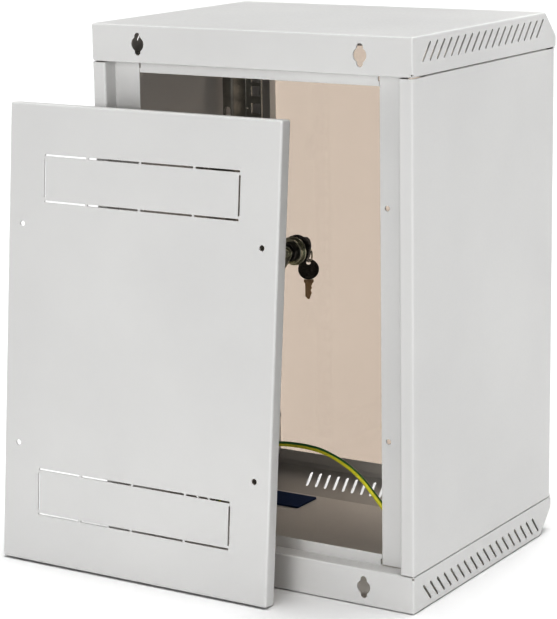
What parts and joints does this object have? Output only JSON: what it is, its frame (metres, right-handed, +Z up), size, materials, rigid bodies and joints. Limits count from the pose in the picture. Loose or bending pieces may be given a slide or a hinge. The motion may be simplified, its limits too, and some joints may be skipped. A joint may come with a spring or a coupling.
{
  "type": "network server rack cabinet",
  "caption": "Compact ten-inch wall rack cabinet: grey folded steel shell, vented caps, tinted glass door with a cam lock, square-hole rails, earth lead and a loose rear panel.",
  "frame": {"origin": "centre of the cabinet's footprint, on the surface it stands on", "axes": "+Z up, -Y towards the glass door, +Y towards the rear opening, +X to the right when the door is faced"},
  "size_m": [0.3905, 0.3419, 0.473],
  "materials": {
    "powder_coat": "light grey polyester powder coat with a fine satin texture",
    "zinc_sheet": "zinc-plated sheet steel, faintly mottled",
    "zinc_hardware": "bright zinc plating",
    "bronze_glass": "clear bronze tinted safety glass, polished edges",
    "black_lock": "black enamel on a die-cast lock housing",
    "lock_steel": "nickel-plated lock parts",
    "key_blade": "nickel-plated brass, worn",
    "key_bow": "black moulded plastic",
    "navy_rubber": "dark navy rubber, matt",
    "bumper": "soft dark rubber",
    "earth_sheath": "green and yellow PVC sheath"
  },
  "bodies": {
    "cabinet": {"bottom_cap": "powder_coat", "top_cap": "powder_coat", "cable_entry_seal": "navy_rubber", "right_side_panel": "powder_coat", "left_side_panel": "powder_coat", "panel_screw_1": "zinc_hardware", "panel_screw_2": "zinc_hardware", "panel_screw_3": "zinc_hardware", "panel_screw_4": "zinc_hardware", "panel_screw_5": "zinc_hardware", "panel_screw_6": "zinc_hardware", "panel_screw_7": "zinc_hardware", "panel_screw_8": "zinc_hardware", "right_rail_nut_lower": "zinc_hardware", "right_rail_nut_upper": "zinc_hardware", "left_rail_nut_lower": "zinc_hardware", "left_rail_nut_upper": "zinc_hardware", "lower_hinge_bracket": "powder_coat", "upper_hinge_bracket": "powder_coat", "hinge_screw_1": "zinc_hardware", "hinge_screw_2": "zinc_hardware", "hinge_screw_3": "zinc_hardware", "hinge_screw_4": "zinc_hardware", "lower_door_bumper": "bumper", "upper_door_bumper": "bumper", "right_earth_stud": "zinc_hardware", "left_earth_stud": "zinc_hardware", "right_earth_nut": "zinc_hardware", "left_earth_nut": "zinc_hardware", "right_earth_lug": "zinc_hardware", "left_earth_lug": "zinc_hardware", "earth_lead": "earth_sheath"},
    "door": {"glass_door": "bronze_glass", "lower_hinge_shoe": "zinc_hardware", "upper_hinge_shoe": "zinc_hardware", "lower_shoe_screw": "zinc_hardware", "upper_shoe_screw": "zinc_hardware", "lock_housing": "black_lock", "lock_washer": "lock_steel", "lock_nut": "lock_steel"},
    "lock_rotor": {"lock_plug": "lock_steel", "lock_cam": "lock_steel", "cam_screw": "lock_steel"},
    "key": {"key_blade": "key_blade", "key_bow": "key_bow"},
    "key_ring": {"key_ring": "lock_steel"},
    "spare_key": {"spare_key_blade": "key_blade", "spare_key_bow": "key_bow"},
    "right_rail": {"right_mounting_rail": "zinc_sheet"},
    "left_rail": {"left_mounting_rail": "zinc_sheet"},
    "rear_panel": {"rear_panel": "powder_coat"}
  },
  "joints": [
    {"name": "door_hinge", "type": "hinge", "parent": "cabinet", "child": "door", "pos_m": [-0.1465, -0.1306, 0.2365], "axis": [0, 0, -1], "range_deg": [0, 110]},
    {"name": "lock_turn", "type": "hinge", "parent": "door", "child": "lock_rotor", "pos_m": [0.1166, -0.13, 0.2353], "axis": [0, -1, 0], "range_deg": [-30, 60]},
    {"name": "key_withdraw", "type": "slide", "parent": "lock_rotor", "child": "key", "axis": [0, -1, 0], "range_m": [0, 0.024]},
    {"name": "ring_swing", "type": "hinge", "parent": "key", "child": "key_ring", "pos_m": [0.1166, -0.1559, 0.2344], "axis": [0.8746, -0.4848, 0], "range_deg": [-60, 15]},
    {"name": "spare_swing", "type": "hinge", "parent": "key_ring", "child": "spare_key", "pos_m": [0.1166, -0.1559, 0.22], "axis": [0.8746, -0.4848, 0], "range_deg": [-25, 25]},
    {"name": "right_rail_adjust", "type": "slide", "parent": "cabinet", "child": "right_rail", "axis": [0, 1, 0], "range_m": [-0.008, 0.008]},
    {"name": "left_rail_adjust", "type": "slide", "parent": "cabinet", "child": "left_rail", "axis": [0, 1, 0], "range_m": [-0.008, 0.008]},
    {"name": "rear_panel_lift_off", "type": "slide", "parent": "cabinet", "child": "rear_panel", "axis": [0, 1, 0], "range_m": [0, 0.25]}
  ]
}
